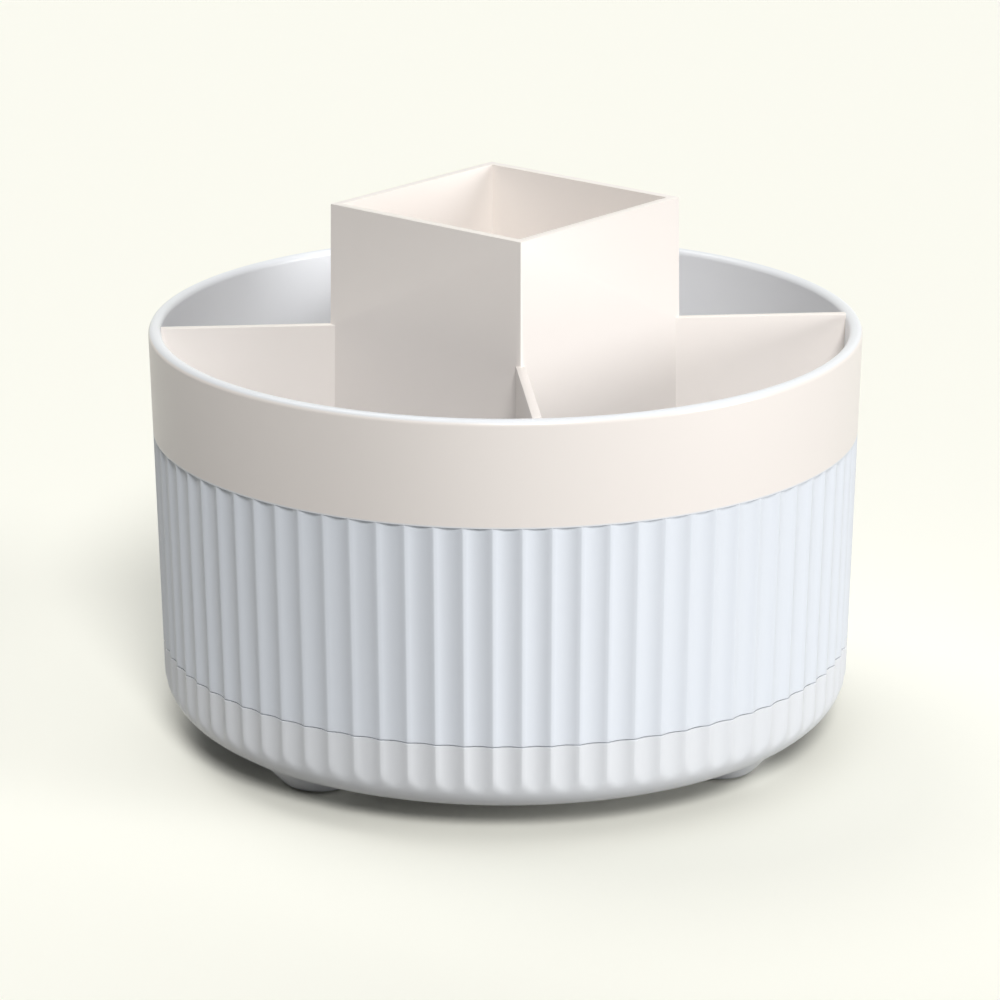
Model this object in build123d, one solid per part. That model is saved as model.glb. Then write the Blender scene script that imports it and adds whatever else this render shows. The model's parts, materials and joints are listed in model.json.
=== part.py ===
from build123d import *
import os
from math import cos, pi, radians, sin, sqrt, tan

# Rotating makeup organizer: a fluted drum, parted by a square tube and four fins,
# turns on a ball race over a fluted base with four moulded feet.
# Millimetres, +Z up, origin at the centre of the plane that the feet stand on.

# Overall sizes
overall_height = 115.0
rim_diameter = 150.0
rim_height = 89.1
seam_height = 20.85
seam_gap = 0.25
outer_draft = 1.28

# Flutes round the drum and the base
plain_band_height = 22.1
flute_count = 80
flute_depth = 0.75
flute_land = 0.3

# Drum
drum_wall = 2.8
rim_flat = 0.3
rim_round = (drum_wall - rim_flat) / 2
drum_floor_lift = 2.9
drum_floor_thickness = 2.5
cavity_round = 4.0
skirt_thickness = 1.8
skirt_drop = 4.0
skirt_clearance = 0.8

# Divider insert
tube_side = 51.6
tube_wall = 1.9
tube_draft = 0.6
tube_corner_round = 0.8
bore_corner_round = 0.6
tube_lip_round = 0.5
fin_thickness = 1.9
fin_top_round = 0.6
tube_floor_rise = 7.5
tube_floor_thickness = 2.0
insert_boss_diameter = 7.0
insert_screw_corner_gap = 14.5

# Base
base_wall = 2.6
base_floor_thickness = 2.5
base_corner_round = 8.9
stand_height = 5.85

# Feet and their pads
foot_inset = 20.5
foot_circle_diameter = rim_diameter - 2 * foot_inset
foot_side_angle = 40.0
foot_diameter = 14.4
foot_draft = 42.0
foot_edge_round = 3.5
foot_root_round = 6.0
pad_inset = 3.2
pad_diameter = foot_diameter - 2 * pad_inset
pad_thickness = 1.2
pad_proud = 0.4
pad_edge_round = 0.25

# Ball race
ball_diameter = 6.0
ball_count = 16
ball_circle_inset = 29.0
ball_circle_diameter = rim_diameter - 2 * ball_circle_inset
ball_clearance = 0.2
groove_depth = 1.4
race_thickness = 2.5
race_inner_land = 6.0
race_inner_diameter = ball_circle_diameter - 2 * race_inner_land
race_outer_land = 13.0
race_outer_diameter = ball_circle_diameter + 2 * race_outer_land
race_screw_inset = 5.0
race_screw_circle = race_outer_diameter - 2 * race_screw_inset
lower_seat_height = 2.2
cage_thickness = 2.4
cage_width = 10.0

# Pivot
spindle_diameter = 10.0
bush_wall = 1.6
bush_flange_width = 1.6
bush_flange_thickness = 1.2
bush_top_gap = 0.8
hub_wall = 2.2
washer_overlap = 2.24
washer_thickness = 1.2
axial_play = 0.3
recess_gap = 2.0
cap_overlap = 1.5
cap_thickness = 1.6
cap_head_gap = 0.6

# Screws
race_screw_diameter = 3.0
race_screw_head_diameter = 5.6
race_screw_head_height = 1.3
lower_screw_cover = 1.2
upper_screw_cover = 0.35
insert_screw_diameter = 3.0
insert_screw_head_diameter = 5.6
insert_screw_head_height = 1.8
insert_screw_cover = 2.0
insert_screw_count = 4
race_screw_count = 4
pivot_screw_diameter = 4.0
pivot_screw_head_diameter = 8.0
pivot_screw_head_height = 2.4
pivot_screw_length = 10.0

# Clearances
running_clearance = 0.06
fit_clearance = 0.1
pocket_clearance = 0.25
overrun = 1.0

# Heights that follow from the sizes above, from the ground up
underside = stand_height
pan_floor = underside + base_floor_thickness
lower_race_base = pan_floor + lower_seat_height
lower_race_top = lower_race_base + race_thickness
ball_radius = ball_diameter / 2
ball_height = lower_race_top - groove_depth + ball_clearance + ball_radius
upper_race_base = ball_height + ball_radius + ball_clearance - groove_depth
upper_race_top = upper_race_base + race_thickness
drum_bottom = seam_height + seam_gap
drum_floor_base = drum_bottom + drum_floor_lift
drum_floor_top = drum_floor_base + drum_floor_thickness
flute_top = rim_height - plain_band_height
tube_floor_base = drum_floor_top + tube_floor_rise
tube_floor_top = tube_floor_base + tube_floor_thickness
cap_top = underside + cap_thickness
washer_base = cap_top + cap_head_gap + pivot_screw_head_height
spindle_end = washer_base + washer_thickness
recess_top = spindle_end + axial_play
hub_top = drum_floor_base - bush_top_gap - bush_flange_thickness

# Screw lengths that follow
lower_screw_length = lower_race_top - underside - lower_screw_cover
upper_screw_length = drum_floor_base - upper_race_base - upper_screw_cover
insert_screw_length = tube_floor_base - drum_floor_base - insert_screw_cover

# Diameters and radii that follow
spindle_radius = spindle_diameter / 2
bush_bore_radius = spindle_radius + running_clearance
bush_radius = bush_bore_radius + bush_wall
hub_bore_radius = bush_radius + fit_clearance
washer_diameter = 2 * (hub_bore_radius + washer_overlap)
recess_diameter = washer_diameter + 2 * recess_gap
hub_diameter = recess_diameter + 2 * hub_wall
insert_screw_circle = sqrt(2) * tube_side - 2 * insert_screw_corner_gap
ball_circle_radius = ball_circle_diameter / 2


# The outer wall is widest where the rim's round begins
def outer_radius(height):
    return rim_diameter / 2 - (rim_height - rim_round - height) * tan(radians(outer_draft))


def cavity_radius(height):
    return outer_radius(height) - drum_wall


def disc(radius, low, high):
    return Pos(0, 0, low) * Cylinder(radius, high - low, align=(Align.CENTER, Align.CENTER, Align.MIN))


def ring(outer, inner, low, high):
    return disc(outer, low, high) - disc(inner, low, high)


def around(count, radius, shape, start=0):
    return [place * shape for place in PolarLocations(radius, count, start)]


# Turns an outline of (radius, height) points about Z, with rounds given as (point, radius) pairs
def turned(points, rounds):
    outline = make_face(Polyline(*points, close=True))
    for point, round_radius in rounds:
        corner = outline.vertices().sort_by_distance(Vector(*point))[0]
        outline = fillet(corner, round_radius)
    return revolve(Plane.XZ * outline, Axis.Z)


# Round cutters that lean with the draft and leave a narrow land between neighbours
def flute_cutters(low, high):
    middle = (drum_bottom + flute_top) / 2
    chord = 2 * outer_radius(middle) * sin(pi / flute_count) - flute_land
    cutter_radius = (chord**2 / 4 + flute_depth**2) / (2 * flute_depth)
    lean = radians(outer_draft)
    start = Vector(outer_radius(low) + cutter_radius - flute_depth, 0, low)
    leaning_plane = Plane(start, x_dir=(cos(lean), 0, -sin(lean)), z_dir=(sin(lean), 0, cos(lean)))
    cutter = extrude(leaning_plane * Circle(cutter_radius), (high - low) / cos(lean))
    half_step = 180 / flute_count
    first_turn = 90 % (2 * half_step)
    return [Rot(0, 0, first_turn + 2 * half_step * index) * cutter for index in range(flute_count)]


# A screw that points up, its head's face at height zero, grown by a gap when it makes a hole
def countersunk_screw(length, gap):
    head_radius = race_screw_head_diameter / 2 + gap
    shank_radius = race_screw_diameter / 2 + gap
    from_ground = (Align.CENTER, Align.CENTER, Align.MIN)
    head = Cone(head_radius, shank_radius, race_screw_head_height, align=from_ground)
    return head + disc(shank_radius, 0, length + gap)


def pan_screw(diameter, head_diameter, head_height, length):
    head = disc(head_diameter / 2, -head_height, 0)
    rim = head.edges().filter_by(GeomType.CIRCLE).group_by(Axis.Z)[0]
    return fillet(rim, head_height / 2) + disc(diameter / 2, 0, length)


def upper_screw_places(shape):
    raised = Pos(0, 0, upper_race_base) * shape
    return around(race_screw_count, race_screw_circle / 2, raised)


def lower_screw_places(shape):
    upside_down = Pos(0, 0, lower_race_top) * Rot(180, 0, 0)
    return around(race_screw_count, race_screw_circle / 2, upside_down * shape)


def insert_screw_places(shape):
    return around(insert_screw_count, insert_screw_circle / 2, shape)


def make_drum_shell():
    inner_rim = (cavity_radius(rim_height), rim_height)
    outer_rim = (outer_radius(rim_height), rim_height)
    floor_corner = (cavity_radius(drum_floor_top), drum_floor_top)
    skirt_radius = outer_radius(seam_height) - base_wall - skirt_clearance
    skirt_base = drum_bottom - skirt_drop
    cup = turned(
        [
            (0, drum_floor_base),
            (skirt_radius - skirt_thickness, drum_floor_base),
            (skirt_radius - skirt_thickness, skirt_base),
            (skirt_radius, skirt_base),
            (skirt_radius, drum_bottom),
            (outer_radius(drum_bottom), drum_bottom),
            outer_rim,
            inner_rim,
            floor_corner,
            (0, drum_floor_top),
        ],
        [(outer_rim, rim_round), (inner_rim, rim_round), (floor_corner, cavity_round)],
    )
    cup -= flute_cutters(drum_bottom - overrun, flute_top)

    seat = ring(race_outer_diameter / 2, race_inner_diameter / 2, upper_race_top, drum_floor_base)
    spindle = disc(spindle_radius, spindle_end, drum_floor_base)
    shell = cup + [seat, spindle]

    insert_hole = disc(
        insert_screw_diameter / 2 + fit_clearance,
        drum_floor_base - overrun,
        drum_floor_top + overrun,
    )
    pivot_hole = disc(
        pivot_screw_diameter / 2 + fit_clearance,
        spindle_end - overrun,
        washer_base + pivot_screw_length + fit_clearance,
    )
    race_holes = upper_screw_places(countersunk_screw(upper_screw_length, fit_clearance))
    return shell - race_holes - insert_screw_places(insert_hole) - pivot_hole


# A square block with its corners on the X and Y axes
def square_section(side, corner_round, height):
    return Pos(0, 0, height) * Rot(0, 0, 45) * RectangleRounded(side, side, corner_round)


def make_divider_insert():
    foot_side = tube_side + 2 * (overall_height - drum_floor_top) * tan(radians(tube_draft))
    tube = loft(
        [
            square_section(foot_side, tube_corner_round, drum_floor_top),
            square_section(tube_side, tube_corner_round, overall_height),
        ]
    )
    bore_side = tube_side - 2 * tube_wall
    bore_depth = overall_height - tube_floor_top
    bore = extrude(square_section(bore_side, bore_corner_round, tube_floor_top), bore_depth + overrun)
    under_floor = extrude(square_section(bore_side, bore_corner_round, drum_floor_top), tube_floor_rise)

    # The fins end just short of the drum's wall and follow its draft and floor round
    wall_gap = fit_clearance
    floor_corner = (cavity_radius(drum_floor_top) - wall_gap, drum_floor_top)
    reach = turned(
        [
            (0, drum_floor_top),
            floor_corner,
            (cavity_radius(rim_height) - wall_gap, rim_height),
            (0, rim_height),
        ],
        [(floor_corner, cavity_round)],
    )
    fin_height = rim_height - drum_floor_top
    fin = Pos(0, 0, drum_floor_top) * Box(
        rim_diameter,
        fin_thickness,
        fin_height,
        align=(Align.CENTER, Align.CENTER, Align.MIN),
    )
    top_edges = fin.edges().filter_by(Axis.X).group_by(Axis.Z)[-1]
    fin = fillet(top_edges, fin_top_round)
    fins = reach & (fin + Rot(0, 0, 90) * fin)

    boss = disc(insert_boss_diameter / 2, drum_floor_top, tube_floor_base)
    blind_hole = disc(
        insert_screw_diameter / 2 + fit_clearance,
        drum_floor_top - overrun,
        drum_floor_base + insert_screw_length + fit_clearance,
    )
    insert = tube + fins - bore - under_floor
    insert += insert_screw_places(boss)
    insert -= insert_screw_places(blind_hole)
    lip = insert.edges().group_by(Axis.Z)[-1]
    return fillet(lip, tube_lip_round)


# A soft bump that widens upwards and ends inside the pan's floor
def make_foot():
    foot_low = pad_proud
    foot_high = underside + base_floor_thickness / 2
    foot_radius = foot_diameter / 2
    edge = (foot_radius, foot_low)
    head_radius = foot_radius + (foot_high - foot_low) * tan(radians(foot_draft))
    return turned(
        [(0, foot_low), edge, (head_radius, foot_high), (0, foot_high)],
        [(edge, foot_edge_round)],
    )


# Two feet on each side, an equal angle before and behind the X axis
def foot_places(shape):
    outwards = Pos(foot_circle_diameter / 2, 0, 0)
    turns = [foot_side_angle, 180 - foot_side_angle, 180 + foot_side_angle, -foot_side_angle]
    return [Rot(0, 0, turn) * outwards * shape for turn in turns]


def make_base_pan():
    bottom_corner = (outer_radius(underside), underside)
    floor_corner = (outer_radius(pan_floor) - base_wall, pan_floor)
    dish = turned(
        [
            (0, underside),
            bottom_corner,
            (outer_radius(seam_height), seam_height),
            (outer_radius(seam_height) - base_wall, seam_height),
            floor_corner,
            (0, pan_floor),
        ],
        [(bottom_corner, base_corner_round), (floor_corner, base_corner_round - base_wall)],
    )
    feet = foot_places(make_foot())
    pan = dish + feet
    pan = fillet(new_edges(dish, *feet, combined=pan), foot_root_round)
    pan -= flute_cutters(underside, seam_height + overrun)

    hub = disc(hub_diameter / 2, pan_floor, hub_top)
    seat = ring(race_outer_diameter / 2, race_inner_diameter / 2, pan_floor, lower_race_base)
    pan += [hub, seat]

    pad_pocket = disc(pad_diameter / 2 + fit_clearance, 0, pad_thickness)
    pan -= foot_places(pad_pocket)
    hub_bore = disc(hub_bore_radius, underside, hub_top + overrun)
    recess = disc(recess_diameter / 2, underside, recess_top)
    cap_pocket = disc(recess_diameter / 2 + cap_overlap, underside - overrun, cap_top)
    race_holes = lower_screw_places(countersunk_screw(lower_screw_length, fit_clearance))
    return pan - hub_bore - recess - cap_pocket - race_holes


def race_ring(low):
    blank = ring(race_outer_diameter / 2, race_inner_diameter / 2, low, low + race_thickness)
    return blank - Pos(0, 0, ball_height) * Torus(ball_circle_radius, ball_radius + ball_clearance)


def make_upper_race():
    holes = upper_screw_places(countersunk_screw(upper_screw_length, fit_clearance))
    return race_ring(upper_race_base) - holes


def make_lower_race():
    holes = lower_screw_places(countersunk_screw(lower_screw_length, fit_clearance))
    return race_ring(lower_race_base) - holes


def make_ball_cage():
    low = ball_height - cage_thickness / 2
    high = ball_height + cage_thickness / 2
    band = ring(ball_circle_radius + cage_width / 2, ball_circle_radius - cage_width / 2, low, high)
    pocket = disc(ball_radius + pocket_clearance, low - overrun, high + overrun)
    return band - around(ball_count, ball_circle_radius, pocket)


def make_bearing_balls():
    ball = Pos(0, 0, ball_height) * Sphere(ball_radius)
    return around(ball_count, ball_circle_radius, ball)


def make_pivot_bush():
    barrel = disc(bush_radius, recess_top, hub_top)
    flange = disc(bush_radius + bush_flange_width, hub_top, hub_top + bush_flange_thickness)
    return barrel + flange - disc(bush_bore_radius, recess_top - overrun, drum_floor_base)


def make_retaining_washer():
    return ring(washer_diameter / 2, pivot_screw_diameter / 2 + fit_clearance, washer_base, spindle_end)


def make_pivot_screw():
    screw = pan_screw(
        pivot_screw_diameter,
        pivot_screw_head_diameter,
        pivot_screw_head_height,
        pivot_screw_length,
    )
    return Pos(0, 0, washer_base) * screw


def make_insert_screws():
    screw = pan_screw(
        insert_screw_diameter,
        insert_screw_head_diameter,
        insert_screw_head_height,
        insert_screw_length,
    )
    return insert_screw_places(Pos(0, 0, drum_floor_base) * screw)


def make_bottom_cap():
    return disc(recess_diameter / 2 + cap_overlap - fit_clearance, underside, cap_top)


def make_foot_pads():
    pad = disc(pad_diameter / 2, 0, pad_thickness)
    standing_edge = pad.edges().group_by(Axis.Z)[0]
    return foot_places(fillet(standing_edge, pad_edge_round))


pads = make_foot_pads()
pad_names = ["foot_pad_rear_right", "foot_pad_rear_left", "foot_pad_front_left", "foot_pad_front_right"]
nodes = {
    "drum_shell": [make_drum_shell()],
    "divider_insert": [make_divider_insert()],
    "insert_screws": make_insert_screws(),
    "upper_race": [make_upper_race()],
    "upper_race_screws": upper_screw_places(countersunk_screw(upper_screw_length, 0)),
    "retaining_washer": [make_retaining_washer()],
    "pivot_screw": [make_pivot_screw()],
    "ball_cage": [make_ball_cage()],
    "bearing_balls": make_bearing_balls(),
    "base_pan": [make_base_pan()],
    "lower_race": [make_lower_race()],
    "lower_race_screws": lower_screw_places(countersunk_screw(lower_screw_length, 0)),
    "pivot_bush": [make_pivot_bush()],
    "bottom_cap": [make_bottom_cap()],
}
for name, pad in zip(pad_names, pads):
    nodes[name] = [pad]

os.makedirs("parts", exist_ok=True)
for name, shapes in nodes.items():
    solids = [solid for shape in shapes for solid in shape.solids()]
    piece = solids[0] if len(solids) == 1 else Compound(children=solids)
    export_step(piece, f"parts/{name}.step")
    print(name, len(solids), "solids")
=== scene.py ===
import json
import math
import bmesh
import bpy
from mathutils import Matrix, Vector


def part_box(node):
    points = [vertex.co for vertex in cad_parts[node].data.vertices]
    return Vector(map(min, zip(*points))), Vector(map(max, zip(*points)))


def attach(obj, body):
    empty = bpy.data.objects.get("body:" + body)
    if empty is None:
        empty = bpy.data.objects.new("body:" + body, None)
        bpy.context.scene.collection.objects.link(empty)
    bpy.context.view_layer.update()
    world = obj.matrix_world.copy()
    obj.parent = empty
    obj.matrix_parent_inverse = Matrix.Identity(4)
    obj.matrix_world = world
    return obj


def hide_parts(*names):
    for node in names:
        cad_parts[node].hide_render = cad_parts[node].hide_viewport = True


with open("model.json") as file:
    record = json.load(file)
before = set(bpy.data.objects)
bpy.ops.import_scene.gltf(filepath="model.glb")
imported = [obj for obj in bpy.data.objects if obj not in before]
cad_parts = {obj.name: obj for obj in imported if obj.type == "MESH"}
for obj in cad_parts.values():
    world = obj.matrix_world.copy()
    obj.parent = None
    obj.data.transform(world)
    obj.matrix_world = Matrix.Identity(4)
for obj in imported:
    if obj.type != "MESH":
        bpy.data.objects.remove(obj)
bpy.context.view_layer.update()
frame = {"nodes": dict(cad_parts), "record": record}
mm = 0.001
print("frame loaded:", len(frame["nodes"]), "nodes")


def hexColour(code):  # sRGB hex to the linear values that shaders take
    parts = [int(code[i:i + 2], 16) / 255 for i in (1, 3, 5)]
    return [c / 12.92 if c <= 0.04045 else ((c + 0.055) / 1.055) ** 2.4 for c in parts] + [1.0]


def addNode(tree, kind, inputs=None, **settings):  # inputs are values or the sockets that feed them
    node = tree.nodes.new(kind)
    for key, value in settings.items():
        setattr(node, key, value)
    for key, value in (inputs or {}).items():
        if isinstance(value, bpy.types.NodeSocket):
            tree.links.new(value, node.inputs[key])
        else:
            node.inputs[key].default_value = value
    return node


def colourMix(tree, factor, first, second):  # colours are hex codes or sockets
    mix = addNode(tree, "ShaderNodeMix", {"Factor": factor}, data_type="RGBA")
    for socket, colour in ((6, first), (7, second)):  # its two colour inputs come after those for numbers
        if isinstance(colour, bpy.types.NodeSocket):
            tree.links.new(colour, mix.inputs[socket])
        else:
            mix.inputs[socket].default_value = hexColour(colour)
    return mix.outputs[2]


def newMaterial(name):
    material = bpy.data.materials.new(name)
    material.use_nodes = True
    tree = material.node_tree
    tree.nodes.clear()
    place = addNode(tree, "ShaderNodeTexCoord").outputs["Object"]
    return material, tree, place


def perMetre(sizeInMm):  # noise scale for a feature of that size
    return 1 / (sizeInMm * mm)


def linkMesh(name, mesh):
    piece = bpy.data.objects.new(name, mesh)
    bpy.context.scene.collection.objects.link(piece)
    return piece


# What the frame gives, in millimetres
def boxOf(node):
    low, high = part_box(node)
    return low / mm, high / mm


drumLow, drumHigh = boxOf("drum_shell")
insertLow, insertHigh = boxOf("divider_insert")
upperRaceHigh = boxOf("upper_race")[1]
lowerRaceLow, lowerRaceHigh = boxOf("lower_race")
capLow, capHigh = boxOf("bottom_cap")
bushLow, bushHigh = boxOf("pivot_bush")

# Sizes that the drum and the base share, in millimetres and degrees, with the rows that draw their rounds
shell = dict(
    draft=1.28, rimRound=1.25, seamHeight=20.85, seamGap=0.25, bandHeight=22.1, fluteCount=80,
    fluteDepth=0.75, fluteMargin=1.0, landShare=0.055, runOut=0.6, columnsPerFlute=10, edgeRound=0.1,
    edgeRows=2, floorRoundRows=10, raceInner=40.0, sharpAngle=42, weld=0.002,
)
slope = math.tan(math.radians(shell["draft"]))
wallAtGround = drumHigh.x - (drumHigh.z - shell["rimRound"]) * slope
fluteTop = drumHigh.z - shell["bandHeight"]


def wallRadius(height):
    return wallAtGround + height * slope


plasticNoise = dict(cloudDetail=3.0, peelDetail=2.0)  # the same for every plastic
# Moulded white ABS from a polished tool: soft gloss, a faint orange peel, very slight cloudiness
mouldedWhiteLook = dict(
    white="#EAECEF", cloud="#E6E9ED", cloudSize=38, peelSize=1.6, peelHeight=0.010, grainSize=0.35,
    grainHeight=0.004, roughLow=0.27, roughHigh=0.36, ior=1.53,
)
# Outside, the drum's flutes are tinted a shade cooler and its plain band a shade warmer than the white
# within: painted cool light on the flutes and painted warm light on the band, over a drum that is plain white
drumPaintedLightLook = dict(
    mouldedWhiteLook, fluteCoolLightPaint="#E6EBF2", bandWarmLightPaint="#F4EDE7", skinDepth=1.6, rimDepth=0.75, toneBlend=0.4,
)
# The tube and fins are a second moulding of the same ABS, with painted warm light all over: the warm tint of
# the drum's band
insertPaintedLightLook = dict(mouldedWhiteLook, white="#F4EDE7", cloud="#F0E9E3")
# Natural acetal: milky and waxy, a satin surface straight from the tool
acetalLook = dict(
    white="#E4E2DA", cloud="#DDDAD0", cloudSize=14, peelSize=1.2, peelHeight=0.008, grainSize=0.3,
    grainHeight=0.006, roughLow=0.40, roughHigh=0.52, ior=1.48,
)
# Spark-eroded white ABS: the same plastic with a fine matt grain
mattWhiteLook = dict(
    white="#ECEBE8", cloud="#E6E6E4", cloudSize=20, peelSize=1.2, peelHeight=0.012, grainSize=0.45,
    grainHeight=0.030, roughLow=0.48, roughHigh=0.60, ior=1.53,
)
# Pale silicone rubber: dull, slightly dusty, a soft grain
siliconeLook = dict(
    white="#D9D8D4", cloud="#CFCECB", cloudSize=5, peelSize=0.9, peelHeight=0.020, grainSize=0.4,
    grainHeight=0.030, roughLow=0.62, roughHigh=0.80, ior=1.41,
)


def paintedLightTones(tree, place, look, within):  # painted light outside: a cool cast on the flutes and a warm one on the band, with the given tone within and on the rim
    parts = addNode(tree, "ShaderNodeSeparateXYZ", {0: place}).outputs
    flat = addNode(tree, "ShaderNodeCombineXYZ", {"X": parts["X"], "Y": parts["Y"]}).outputs[0]
    fromAxis = addNode(tree, "ShaderNodeVectorMath", {0: flat}, operation="LENGTH").outputs["Value"]
    atGround = addNode(tree, "ShaderNodeMath", {0: parts["Z"], 1: -slope, 2: fromAxis},
                       operation="MULTIPLY_ADD")

    def past(value, start):  # 0 before that place, 1 beyond it
        step = addNode(tree, "ShaderNodeMapRange", {
            "Value": value, "From Min": start * mm, "From Max": (start + look["toneBlend"]) * mm})
        return step.outputs["Result"]

    # painted cool light on the flutes, painted warm light on the band above them
    outer = colourMix(tree, past(parts["Z"], fluteTop), look["fluteCoolLightPaint"], look["bandWarmLightPaint"])
    tone = colourMix(tree, past(atGround.outputs[0], wallAtGround - look["skinDepth"]), within, outer)
    return colourMix(tree, past(parts["Z"], drumHigh.z - look["rimDepth"]), tone, within)


def makeMouldedWhite(name, look):
    material, tree, place = newMaterial(name)
    cloud = addNode(tree, "ShaderNodeTexNoise", {
        "Vector": place, "Scale": perMetre(look["cloudSize"]),
        "Detail": plasticNoise["cloudDetail"]}).outputs["Fac"]
    tone = colourMix(tree, cloud, look["white"], look["cloud"])
    # the drum's look adds painted cool and warm light outside
    if "bandWarmLightPaint" in look:
        tone = paintedLightTones(tree, place, look, tone)
    rough = addNode(tree, "ShaderNodeMapRange", {
        "Value": cloud, "To Min": look["roughLow"], "To Max": look["roughHigh"]})
    peel = addNode(tree, "ShaderNodeTexNoise", {
        "Vector": place, "Scale": perMetre(look["peelSize"]), "Detail": plasticNoise["peelDetail"]})
    grain = addNode(tree, "ShaderNodeTexNoise", {"Vector": place, "Scale": perMetre(look["grainSize"])})
    peelBump = addNode(tree, "ShaderNodeBump", {
        "Height": peel.outputs["Fac"], "Distance": look["peelHeight"] * mm, "Strength": 1.0})
    grainBump = addNode(tree, "ShaderNodeBump", {
        "Height": grain.outputs["Fac"], "Distance": look["grainHeight"] * mm, "Strength": 1.0,
        "Normal": peelBump.outputs["Normal"]})
    shader = addNode(tree, "ShaderNodeBsdfPrincipled", {
        "Base Color": tone, "Roughness": rough.outputs["Result"], "IOR": look["ior"],
        "Normal": grainBump.outputs["Normal"]})
    addNode(tree, "ShaderNodeOutputMaterial", {"Surface": shader.outputs["BSDF"]})
    return material


# Zinc plated steel: pale metal, slightly patchy, with a fine uneven sheen
zincLook = dict(
    metal="#A9ABAD", tarnish="#8C8E92", patchSize=6, patchDetail=4.0, sheenSize=0.4, roughLow=0.26,
    roughHigh=0.44,
)
# Polished bearing steel: bright, nearly mirror, with a trace of oil haze
ballLook = dict(
    metal="#C9CBCE", tarnish="#B9BBBF", patchSize=2, patchDetail=4.0, sheenSize=0.2, roughLow=0.06,
    roughHigh=0.12,
)


def makeSteel(name, look):
    material, tree, place = newMaterial(name)
    patch = addNode(tree, "ShaderNodeTexNoise", {
        "Vector": place, "Scale": perMetre(look["patchSize"]), "Detail": look["patchDetail"]})
    sheen = addNode(tree, "ShaderNodeTexNoise", {"Vector": place, "Scale": perMetre(look["sheenSize"])})
    rough = addNode(tree, "ShaderNodeMapRange", {
        "Value": sheen.outputs["Fac"], "To Min": look["roughLow"], "To Max": look["roughHigh"]})
    shader = addNode(tree, "ShaderNodeBsdfPrincipled", {
        "Base Color": colourMix(tree, patch.outputs["Fac"], look["metal"], look["tarnish"]),
        "Metallic": 1.0, "Roughness": rough.outputs["Result"]})
    addNode(tree, "ShaderNodeOutputMaterial", {"Surface": shader.outputs["BSDF"]})
    return material


slotMaterials = {
    "white_plastic": makeMouldedWhite("abs_moulded_white", mouldedWhiteLook),
    "cap_plastic": makeMouldedWhite("abs_matt_white", mattWhiteLook),
    "cage_plastic": makeMouldedWhite("acetal_cage", acetalLook),
    "bush_plastic": makeMouldedWhite("acetal_bush", acetalLook),
    "pad_rubber": makeMouldedWhite("silicone_pad", siliconeLook),
    "race_steel": makeSteel("steel_zinc_race", zincLook),
    "screw_steel": makeSteel("steel_zinc_screw", zincLook),
    "ball_steel": makeSteel("steel_polished_ball", ballLook),
}
# the drum's material carries painted cool light on its flutes and painted warm light on its band
drumWhite = makeMouldedWhite("abs_drum_white_painted_light", drumPaintedLightLook)
# the insert's material carries painted warm light all over
insertWhite = makeMouldedWhite("abs_insert_white_painted_light", insertPaintedLightLook)
for subpart in frame["record"]["subparts"]:
    node = frame["nodes"][subpart["node"]]
    node.data.materials.clear()
    node.data.materials.append(slotMaterials[subpart["material_slot"]])
print("materials:", len(bpy.data.materials))


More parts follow.
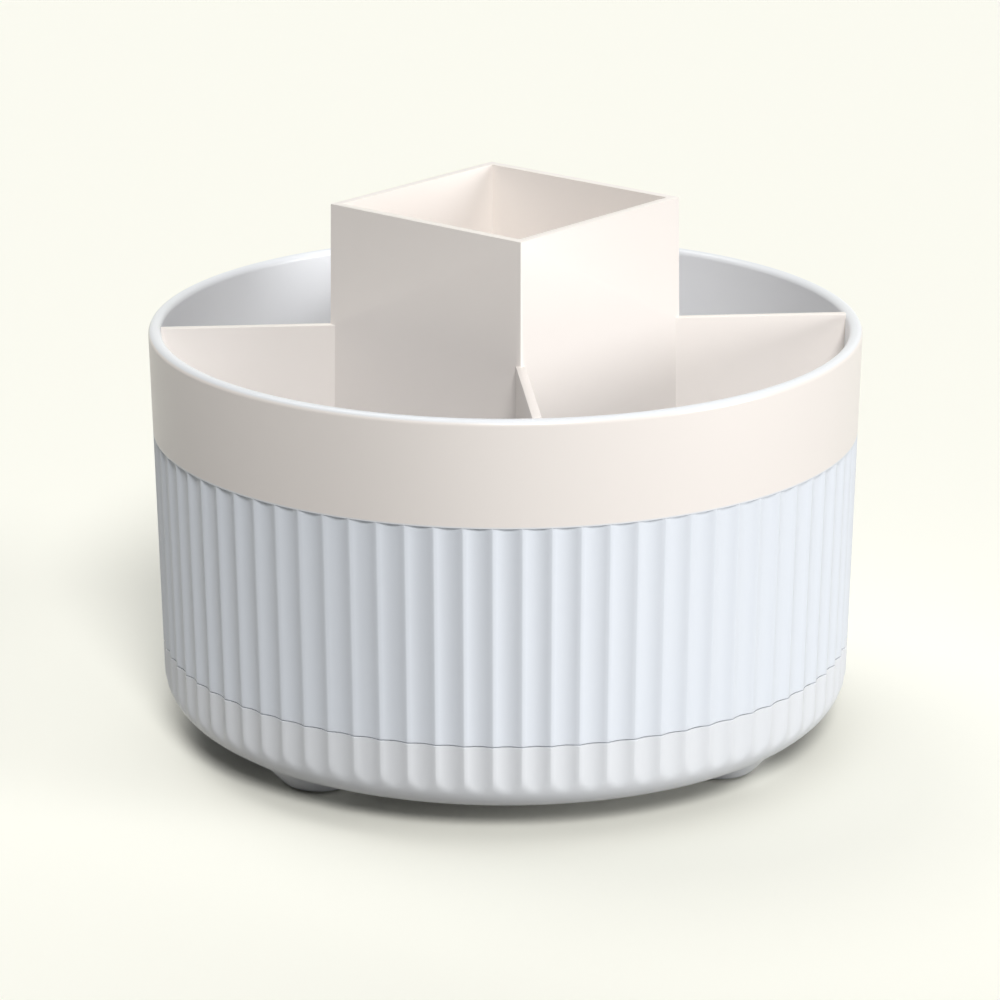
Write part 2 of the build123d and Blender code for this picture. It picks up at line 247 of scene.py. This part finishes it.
# A turned wall from an outline of rows: X is the radius, Z the height, and Y the share of the feet's pull.
# Flutes press into whatever stands outside the leaning wall line, so they run out by themselves on a round
# corner. Feet are drawn down from the rows that have a share.
def makeFlutedLatheTree():
    tree = bpy.data.node_groups.new("flutedLathe", "GeometryNodeTree")
    tree.interface.new_socket("Geometry", in_out="OUTPUT", socket_type="NodeSocketGeometry")
    sockets = [
        ("Outline", "NodeSocketObject"), ("Rows", "NodeSocketInt"), ("Columns", "NodeSocketInt"),
        ("Flute Count", "NodeSocketInt"), ("Material", "NodeSocketMaterial"),
    ]
    sockets += [(name, "NodeSocketFloat") for name in (
        "Flute Depth", "Land Share", "Run Out", "Flute Top", "Wall Radius", "Wall Slope", "Foot X", "Foot Y",
        "Foot Radius", "Foot Slope", "Foot Edge", "Foot Root", "Sole Height", "Sharp Angle", "Weld")]
    for name, kind in sockets:
        tree.interface.new_socket(name, in_out="INPUT", socket_type=kind)
    given = addNode(tree, "NodeGroupInput").outputs

    def maths(operation, *values):
        return addNode(tree, "ShaderNodeMath", dict(enumerate(values)), operation=operation).outputs[0]

    columnsPlusOne = maths("ADD", given["Columns"], 1.0)
    grid = addNode(tree, "GeometryNodeMeshGrid", {
        "Size X": 1.0, "Size Y": 1.0, "Vertices X": columnsPlusOne, "Vertices Y": given["Rows"]})
    place = addNode(tree, "GeometryNodeInputPosition").outputs[0]
    gridPlace = addNode(tree, "ShaderNodeSeparateXYZ", {0: place}).outputs
    turn = maths("ADD", gridPlace["X"], 0.5)
    rowShare = maths("ADD", gridPlace["Y"], 0.5)
    lastRow = maths("SUBTRACT", given["Rows"], 1.0)
    row = maths("ROUND", maths("MULTIPLY", rowShare, lastRow))
    outline = addNode(tree, "GeometryNodeObjectInfo", {"Object": given["Outline"]})
    sampled = addNode(tree, "GeometryNodeSampleIndex", {
        "Geometry": outline.outputs["Geometry"], "Value": place, "Index": row},
        data_type="FLOAT_VECTOR", domain="POINT")
    rowPlace = addNode(tree, "ShaderNodeSeparateXYZ", {0: sampled.outputs[0]}).outputs
    radius, footPull, height = rowPlace["X"], rowPlace["Y"], rowPlace["Z"]

    # Scallop across one flute: 1 in the middle of its lands, 0 in the valley. The outermost columns of a
    # flute are drawn to the edges of the lands, so that the arrises stay crisp.
    flutesTurned = maths("ADD", maths("MULTIPLY", turn, given["Flute Count"]), 0.5)
    evenly = maths("SUBTRACT", maths("MULTIPLY", maths("FRACT", flutesTurned), 2.0), 1.0)
    hollowShare = maths("SUBTRACT", 1.0, given["Land Share"])
    outermost = maths("DIVIDE", maths("MULTIPLY", given["Flute Count"], 2.0), given["Columns"])
    evenShare = maths("SUBTRACT", 1.0, outermost)
    drawn = addNode(tree, "ShaderNodeMapRange", {
        "Value": maths("ABSOLUTE", evenly), "From Min": evenShare, "From Max": 1.0, "To Min": hollowShare})
    inner = maths("MULTIPLY", maths("DIVIDE", maths("ABSOLUTE", evenly), evenShare), hollowShare)
    across = maths("MINIMUM", inner, drawn.outputs["Result"])
    inHollow = maths("MINIMUM", maths("DIVIDE", across, hollowShare), 1.0)
    hollow = maths("MULTIPLY", given["Flute Depth"], maths("SUBTRACT", 1.0, maths("POWER", inHollow, 2.0)))
    below = maths("LESS_THAN", height, given["Flute Top"])
    wallLine = maths("ADD", given["Wall Radius"], maths("MULTIPLY", given["Wall Slope"], height))
    fluteLine = maths("SUBTRACT", wallLine, maths("MULTIPLY", hollow, below))
    cornerGap = maths("MAXIMUM", maths("SUBTRACT", wallLine, radius), 0.0)
    fluted = maths("SMOOTH_MIN", radius, fluteLine, maths("MINIMUM", cornerGap, given["Run Out"]))

    flutesFloor = maths("FLOOR", flutesTurned)
    signed = maths("MULTIPLY", across, maths("SIGN", evenly))
    angle = maths("MULTIPLY", maths("DIVIDE", maths("ADD", flutesFloor, maths("MULTIPLY", signed, 0.5)),
                                    given["Flute Count"]), 2 * math.pi)
    x = maths("MULTIPLY", fluted, maths("COSINE", angle))
    y = maths("MULTIPLY", fluted, maths("SINE", angle))
    footX = maths("SUBTRACT", maths("ABSOLUTE", x), given["Foot X"])
    footY = maths("SUBTRACT", maths("ABSOLUTE", y), given["Foot Y"])
    fromFoot = maths("SQRT", maths("ADD", maths("MULTIPLY", footX, footX), maths("MULTIPLY", footY, footY)))
    flank = maths("MULTIPLY", maths("SUBTRACT", fromFoot, given["Foot Radius"]), given["Foot Slope"])
    footLow = maths("ADD", maths("SMOOTH_MAX", flank, 0.0, given["Foot Edge"]), given["Sole Height"])
    drawnDown = maths("SMOOTH_MIN", height, footLow, given["Foot Root"])
    z = maths("ADD", height, maths("MULTIPLY", maths("SUBTRACT", drawnDown, height), footPull))

    spot = addNode(tree, "ShaderNodeCombineXYZ", {"X": x, "Y": y, "Z": z}).outputs[0]
    moved = addNode(tree, "GeometryNodeSetPosition", {"Geometry": grid.outputs["Mesh"], "Position": spot})
    closed = addNode(tree, "GeometryNodeMergeByDistance", {
        "Geometry": moved.outputs[0], "Distance": given["Weld"]})
    smooth = addNode(tree, "GeometryNodeSetShadeSmooth", {
        "Geometry": closed.outputs[0], "Shade Smooth": True})
    edgeAngle = addNode(tree, "GeometryNodeInputMeshEdgeAngle").outputs["Unsigned Angle"]
    isSharp = maths("GREATER_THAN", edgeAngle, given["Sharp Angle"])
    creased = addNode(tree, "GeometryNodeSetShadeSmooth", {
        "Geometry": smooth.outputs[0], "Selection": isSharp, "Shade Smooth": False}, domain="EDGE")
    real = addNode(tree, "GeometryNodeRealizeInstances", {"Geometry": creased.outputs[0]})
    dressed = addNode(tree, "GeometryNodeSetMaterial", {
        "Geometry": real.outputs[0], "Material": given["Material"]})
    addNode(tree, "NodeGroupOutput", {0: dressed.outputs[0]})
    return tree


flutedLathe = makeFlutedLatheTree()
fluteValues = {
    "Columns": shell["fluteCount"] * shell["columnsPerFlute"], "Flute Count": shell["fluteCount"],
    "Flute Depth": shell["fluteDepth"] * mm, "Land Share": shell["landShare"],
    "Run Out": shell["runOut"] * mm, "Wall Radius": wallAtGround * mm, "Wall Slope": slope,
    "Sharp Angle": math.radians(shell["sharpAngle"]), "Weld": shell["weld"] * mm,
}


def runTree(name, tree, values):  # evaluates a tree and leaves a plain mesh at the origin
    carrier = linkMesh(name, bpy.data.meshes.new(name + "Seed"))
    modifier = carrier.modifiers.new("shape", "NODES")
    modifier.node_group = tree
    identifiers = {s.name: s.identifier for s in tree.interface.items_tree if s.in_out == "INPUT"}
    for key, value in values.items():
        modifier[identifiers[key]] = value
    graph = bpy.context.evaluated_depsgraph_get()
    made = bpy.data.meshes.new_from_object(carrier.evaluated_get(graph))
    carrier.modifiers.remove(modifier)
    carrier.data = made
    made.name = name
    return carrier


def makeLathe(name, outline, values, footShares=()):  # foot shares belong to the first rows
    shares = list(footShares) + [0] * (len(outline) - len(footShares))
    mesh = bpy.data.meshes.new(name + "Outline")
    mesh.from_pydata([(r * mm, share, z * mm) for (r, z), share in zip(outline, shares)], [], [])
    guide = linkMesh(name + "Outline", mesh)
    piece = runTree(name, flutedLathe, dict(values, Outline=guide, Rows=len(outline)))
    bpy.data.objects.remove(guide)
    bpy.data.meshes.remove(mesh)
    return piece


def arc(centreR, centreZ, radius, startDegrees, endDegrees, steps):
    points = []
    for i in range(steps + 1):
        a = math.radians(startDegrees + (endDegrees - startDegrees) * i / steps)
        points.append((centreR + radius * math.cos(a), centreZ + radius * math.sin(a)))
    return points


def between(start, end, steps):  # evenly spaced rows, without the last
    return [(start[0] + (end[0] - start[0]) * i / steps, start[1] + (end[1] - start[1]) * i / steps)
            for i in range(steps)]


# Drum: cup with a rounded rim, floor round, locating skirt, race seat and spindle
drum = dict(
    wall=2.8, floorRound=4.0, floorThickness=2.5, skirtDrop=4.0, skirtThickness=1.8, skirtInset=3.4,
    spindle=5.0, wallRows=6, ledge=0.12, ledgeRows=(-4, -1, 0, 1, 4), rimRows=8, floorRows=6,
)


def drumOutline(d):  # from the spindle's end outwards, up the outside and down the inside
    lean, rimRound, edge = shell["draft"], shell["rimRound"], shell["edgeRound"]
    rimZ = drumHigh.z
    floorZ = insertLow.z
    underZ = floorZ - d["floorThickness"]
    bottomZ = shell["seamHeight"] + shell["seamGap"]
    skirtZ = bottomZ - d["skirtDrop"]
    skirtOut = wallRadius(shell["seamHeight"]) - d["skirtInset"]
    skirtIn = skirtOut - d["skirtThickness"]
    cavity = wallRadius(floorZ) - d["wall"]
    raceIn, raceOut, raceZ = shell["raceInner"], upperRaceHigh.x, upperRaceHigh.z
    rows = [(0, drumLow.z), (d["spindle"], drumLow.z), (d["spindle"], underZ)]
    rows += [(raceIn, underZ), (raceIn, raceZ), (raceOut, raceZ), (raceOut, underZ)]
    rows += [(skirtIn, underZ), (skirtIn, skirtZ), (skirtOut, skirtZ), (skirtOut, bottomZ)]
    rows += [(wallRadius(bottomZ) - shell["fluteDepth"] - edge, bottomZ)]
    rows += arc(wallRadius(bottomZ) - edge, bottomZ + edge, edge, -90, 0, shell["edgeRows"])
    lowZ, highZ = bottomZ + shell["fluteMargin"], fluteTop - shell["fluteMargin"]
    rows += between((wallRadius(lowZ), lowZ), (wallRadius(highZ), highZ), d["wallRows"])
    ledgeHeights = [fluteTop + k * d["ledge"] for k in d["ledgeRows"]]
    rows += [(wallRadius(z), z) for z in ledgeHeights]
    rows += arc(drumHigh.x - rimRound, rimZ - rimRound, rimRound, -lean, 90, d["rimRows"])
    rimInside = wallRadius(rimZ) - d["wall"]
    rows += arc(rimInside + rimRound, rimZ - rimRound, rimRound, 90, 180 - lean, d["rimRows"])
    floorEdge = cavity - d["floorRound"]
    rows += arc(floorEdge, floorZ + d["floorRound"], d["floorRound"], -lean, -90, shell["floorRoundRows"])
    rows += between((floorEdge, floorZ), (0, floorZ), d["floorRows"])[1:]
    return rows + [(0, floorZ)]


drumPiece = makeLathe("drum", drumOutline(drum), dict(
    fluteValues, **{"Flute Top": fluteTop * mm, "Material": drumWhite}))
print("drum:", len(drumPiece.data.polygons), "faces")

# Base: pan with a round bottom corner, race seat, hub, cap pocket and four feet drawn from its underside
base = dict(
    wall=2.6, corner=8.9, cornerRows=40, floorThickness=2.5, hubBore=6.76, hubWall=2.2, bushFlange=1.2,
    recess=11.0, capGap=0.1, undersideRows=4, wallTopRows=(5, 2), footCircle=54.5, footSideAngle=40,
    footRadius=7.2, footDraft=42, footEdge=3.5, footRoot=6.0, footReach=14.0, footRows=44, soleHeight=0.4,
    footFadeLow=7.5, footFadeHigh=10.5,
)


def baseOutside(b):  # from the cap's pocket outwards and up to the wall
    underZ = capLow.z
    cornerR = wallRadius(underZ + b["corner"]) - b["corner"]
    footStart = (b["footCircle"] - b["footReach"], underZ)
    rows = between((capHigh.x + b["capGap"], underZ), footStart, b["undersideRows"])
    rows += between(footStart, (cornerR, underZ), b["footRows"])
    return rows + arc(cornerR, underZ + b["corner"], b["corner"], -90, -shell["draft"], b["cornerRows"])


def baseInside(b):  # over the wall's top, down the inside and through the hub
    lean, edge = shell["draft"], shell["edgeRound"]
    floorZ = capLow.z + b["floorThickness"]
    topZ = shell["seamHeight"]
    innerRound = b["corner"] - b["wall"]
    innerR = wallRadius(floorZ + innerRound) - b["wall"] - innerRound
    capPocket = capHigh.x + b["capGap"]
    hubOut = b["recess"] + b["hubWall"]
    hubTop = bushHigh.z - b["bushFlange"]
    rows = [(wallRadius(topZ - k * edge), topZ - k * edge) for k in b["wallTopRows"]]
    rows += arc(wallRadius(topZ) - edge, topZ - edge, edge, 0, 90, shell["edgeRows"])
    rows += [(wallRadius(topZ) - shell["fluteDepth"] - edge, topZ), (wallRadius(topZ) - b["wall"], topZ)]
    rows += arc(innerR, floorZ + innerRound, innerRound, -lean, -90, shell["floorRoundRows"])
    raceIn, raceOut, raceZ = shell["raceInner"], lowerRaceHigh.x, lowerRaceLow.z
    rows += [(raceOut, floorZ), (raceOut, raceZ), (raceIn, raceZ), (raceIn, floorZ)]
    rows += [(hubOut, floorZ), (hubOut, hubTop), (b["hubBore"], hubTop), (b["hubBore"], bushLow.z)]
    rows += [(b["recess"], bushLow.z), (b["recess"], capHigh.z), (capPocket, capHigh.z)]
    return rows + [(capPocket, capLow.z)]


def footShare(b, z):  # the feet's pull fades out up the corner
    return max(0, min(1, (b["footFadeHigh"] - z) / (b["footFadeHigh"] - b["footFadeLow"])))


def footValues(b):  # the two smooth steps are as deep as rounds of the given radius would be
    footSlope = 1 / math.tan(math.radians(b["footDraft"]))
    stepDepth = math.tan(math.radians(90 - b["footDraft"]) / 2) * footSlope
    side = math.radians(b["footSideAngle"])
    return {
        "Foot X": b["footCircle"] * math.cos(side) * mm, "Foot Y": b["footCircle"] * math.sin(side) * mm,
        "Foot Radius": b["footRadius"] * mm, "Foot Slope": footSlope, "Sole Height": b["soleHeight"] * mm,
        "Foot Edge": b["footEdge"] * stepDepth * mm, "Foot Root": b["footRoot"] * stepDepth * mm,
    }


outside = baseOutside(base)
pastSeam = shell["seamHeight"] + shell["fluteMargin"]  # the base's flutes run out through its top
basePiece = makeLathe("base", outside + baseInside(base), dict(
    fluteValues, **footValues(base), **{
        "Flute Top": pastSeam * mm, "Material": slotMaterials["white_plastic"]}),
    [footShare(base, z) for r, z in outside])
print("base:", len(basePiece.data.polygons), "faces")

# Divider insert: square tube with corners on X and Y, four fins level with the rim
insert = dict(
    side=51.6, wall=1.9, draft=0.6, floorRise=7.5, floorThickness=2.0, fin=1.9, finStart=34.4,
    finCornerRows=6, wallBite=0.12, edgeRound=0.5, edgeSegments=3, sharpAngle=30,
)


def addPrism(mesh, rings):  # rings of equal length, joined in order and closed at both ends
    loops = [[mesh.verts.new((x * mm, y * mm, z * mm)) for x, y, z in ring] for ring in rings]
    count = len(loops[0])
    for lower, upper in zip(loops, loops[1:]):
        for i in range(count):
            j = (i + 1) % count
            mesh.faces.new((lower[i], lower[j], upper[j], upper[i]))
    mesh.faces.new(list(reversed(loops[0])))
    mesh.faces.new(loops[-1])


def diamond(side, z):
    h = side / math.sqrt(2)
    return [(h, 0, z), (0, h, z), (-h, 0, z), (0, -h, z)]


def meshOf(name, build):
    mesh = bmesh.new()
    build(mesh)
    bmesh.ops.recalc_face_normals(mesh, faces=mesh.faces[:])
    data = bpy.data.meshes.new(name)
    mesh.to_mesh(data)
    mesh.free()
    return linkMesh(name, data)


def buildTube(mesh):
    low, high, side = insertLow.z, insertHigh.z, insert["side"]
    foot = side + 2 * (high - low) * math.tan(math.radians(insert["draft"]))
    bore = side - 2 * insert["wall"]
    floorLow = low + insert["floorRise"]
    floorHigh = floorLow + insert["floorThickness"]
    addPrism(mesh, [diamond(bore, floorLow), diamond(bore, low), diamond(foot, low), diamond(side, high),
                    diamond(bore, high), diamond(bore, floorHigh)])


def buildFins(mesh):
    low, high, start = insertLow.z, drumHigh.z, insert["finStart"]
    wallInside = insert["wallBite"] - drum["wall"]
    corner = drum["floorRound"]
    cornerR = wallRadius(low) + wallInside - corner
    outline = [(start, low)]
    outline += arc(cornerR, low + corner, corner, -90, 0, insert["finCornerRows"])
    outline += [(wallRadius(high) + wallInside, high), (start, high)]
    half = insert["fin"] / 2
    for c, s in ((1, 0), (0, 1), (-1, 0), (0, -1)):  # along X and Y, both ways
        addPrism(mesh, [[(r * c - w * s, r * s + w * c, z) for r, z in outline] for w in (-half, half)])


insertPiece = meshOf("dividers", buildTube)
finPiece = meshOf("fins", buildFins)
joined = insertPiece.modifiers.new("join", "BOOLEAN")
joined.object = finPiece
joined.operation = "UNION"
joined.solver = "EXACT"
softened = insertPiece.modifiers.new("soften", "BEVEL")
softened.width = insert["edgeRound"] * mm
softened.segments = insert["edgeSegments"]
softened.limit_method = "ANGLE"
softened.angle_limit = math.radians(insert["sharpAngle"])
graph = bpy.context.evaluated_depsgraph_get()
insertMesh = bpy.data.meshes.new_from_object(insertPiece.evaluated_get(graph))
insertPiece.modifiers.clear()
insertPiece.data = insertMesh
bpy.data.objects.remove(finPiece)
insertMesh.materials.clear()
insertMesh.materials.append(insertWhite)
insertMesh.polygons.foreach_set("use_smooth", [True] * len(insertMesh.polygons))
insertMesh.set_sharp_from_angle(angle=math.radians(insert["sharpAngle"]))
print("dividers:", len(insertMesh.polygons), "faces")

for piece, node, body in ((drumPiece, "drum_shell", "drum"), (basePiece, "base_pan", "base"),
                          (insertPiece, "divider_insert", "drum")):
    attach(piece, body)
    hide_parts(node)


def seenDirectly(tree):  # 1 for rays from the camera, reflections and clear materials, 0 for bounced light
    rays = addNode(tree, "ShaderNodeLightPath").outputs
    seen = rays["Is Camera Ray"]
    for kind in ("Is Glossy Ray", "Is Transmission Ray"):
        seen = addNode(tree, "ShaderNodeMath", {0: seen, 1: rays[kind]}, operation="MAXIMUM").outputs[0]
    return seen


# Smooth cream card, its size in metres, that runs out of the picture and throws back less light than it shows
floor = dict(size=8.0, cream="#FEFDF2", bounce="#949391", grainSize=3, grainHeight=0.02, roughness=0.75)
floorMaterial, floorTree, floorPlace = newMaterial("card_cream_floor")
floorGrain = addNode(floorTree, "ShaderNodeTexNoise", {
    "Vector": floorPlace, "Scale": perMetre(floor["grainSize"])})
floorBump = addNode(floorTree, "ShaderNodeBump", {
    "Height": floorGrain.outputs["Fac"], "Distance": floor["grainHeight"] * mm})
floorShader = addNode(floorTree, "ShaderNodeBsdfPrincipled", {
    "Base Color": colourMix(floorTree, seenDirectly(floorTree), floor["bounce"], floor["cream"]),
    "Roughness": floor["roughness"], "Specular IOR Level": 0.0, "Normal": floorBump.outputs["Normal"]})
addNode(floorTree, "ShaderNodeOutputMaterial", {"Surface": floorShader.outputs["BSDF"]})
reach = floor["size"] / 2
floorMesh = bpy.data.meshes.new("floor")
floorCorners = [(-reach, -reach, 0), (reach, -reach, 0), (reach, reach, 0), (-reach, reach, 0)]
floorMesh.from_pydata(floorCorners, [], [(0, 1, 2, 3)])
floorMesh.materials.append(floorMaterial)
linkMesh("floor", floorMesh)


def towards(azimuth, elevation):  # unit vector from the object; azimuth 0 is the front, 90 the right
    a, e = math.radians(azimuth), math.radians(elevation)
    return Vector((math.sin(a) * math.cos(e), -math.cos(a) * math.cos(e), math.sin(e)))


# Five broad, distant lamps, so that the floor is lit evenly: one at the front, a soft one overhead, one low
# at the right that models the walls, one high behind at the left that puts the shadow at the right, and a
# low, soft fill for the back, which the level tops do not mirror
lamps = {
    "front": dict(azimuth=4, elevation=40, spread=18, strength=2.06, colour="#FFFFFF", glossy=True),
    "overhead": dict(azimuth=0, elevation=85, spread=50, strength=0.52, colour="#FFFFFF", glossy=True),
    "rightLow": dict(azimuth=66, elevation=9, spread=26, strength=1.76, colour="#FFFFFF", glossy=True),
    "rearLeft": dict(azimuth=-138, elevation=60, spread=30, strength=0.70, colour="#FFFFFF", glossy=True),
    "backFill": dict(azimuth=172, elevation=16, spread=60, strength=0.98, colour="#FFFFFF", glossy=False),
}
for name, lamp in lamps.items():
    light = bpy.data.lights.new(name, "SUN")
    light.angle = math.radians(lamp["spread"])
    light.energy = lamp["strength"]
    light.color = hexColour(lamp["colour"])[:3]
    holder = bpy.data.objects.new(name, light)
    holder.rotation_euler = towards(lamp["azimuth"], lamp["elevation"]).to_track_quat("Z", "Y").to_euler()
    holder.visible_glossy = lamp["glossy"]
    bpy.context.scene.collection.objects.link(holder)

# Faint cool light from all round, and the cream that the camera and reflections see past the floor
sky = dict(colour="#D3E2FF", strength=0.03, backdrop="#FDFDF1")
world = bpy.data.worlds.new("studio")
world.use_nodes = True
skyTree = world.node_tree
skyTree.nodes.clear()
skyLight = addNode(skyTree, "ShaderNodeBackground", {
    "Color": hexColour(sky["colour"]), "Strength": sky["strength"]})
backdrop = addNode(skyTree, "ShaderNodeBackground", {"Color": hexColour(sky["backdrop"]), "Strength": 1.0})
skyMix = addNode(skyTree, "ShaderNodeMixShader", {
    0: seenDirectly(skyTree), 1: skyLight.outputs[0], 2: backdrop.outputs[0]})
addNode(skyTree, "ShaderNodeOutputWorld", {"Surface": skyMix.outputs[0]})
bpy.context.scene.world = world
bpy.context.scene.view_settings.view_transform = "Standard"

# Camera from the photograph: degrees, millimetres, and the frame's small sideways offset
view = dict(
    azimuth=-4.815, elevation=17.546, distance=873.8, aimHeight=49.42, lens=147.33, sensor=36,
    shift=-0.00545,
)
back = towards(view["azimuth"], view["elevation"])
cameraData = bpy.data.cameras.new("camera")
cameraData.sensor_width = view["sensor"]
cameraData.lens = view["lens"]
cameraData.shift_x = view["shift"]
camera = bpy.data.objects.new("camera", cameraData)
camera.location = Vector((0, 0, view["aimHeight"] * mm)) + back * view["distance"] * mm
camera.rotation_euler = (-back).to_track_quat("-Z", "Y").to_euler()
bpy.context.scene.collection.objects.link(camera)
bpy.context.scene.camera = camera
print("camera and lamps in place")
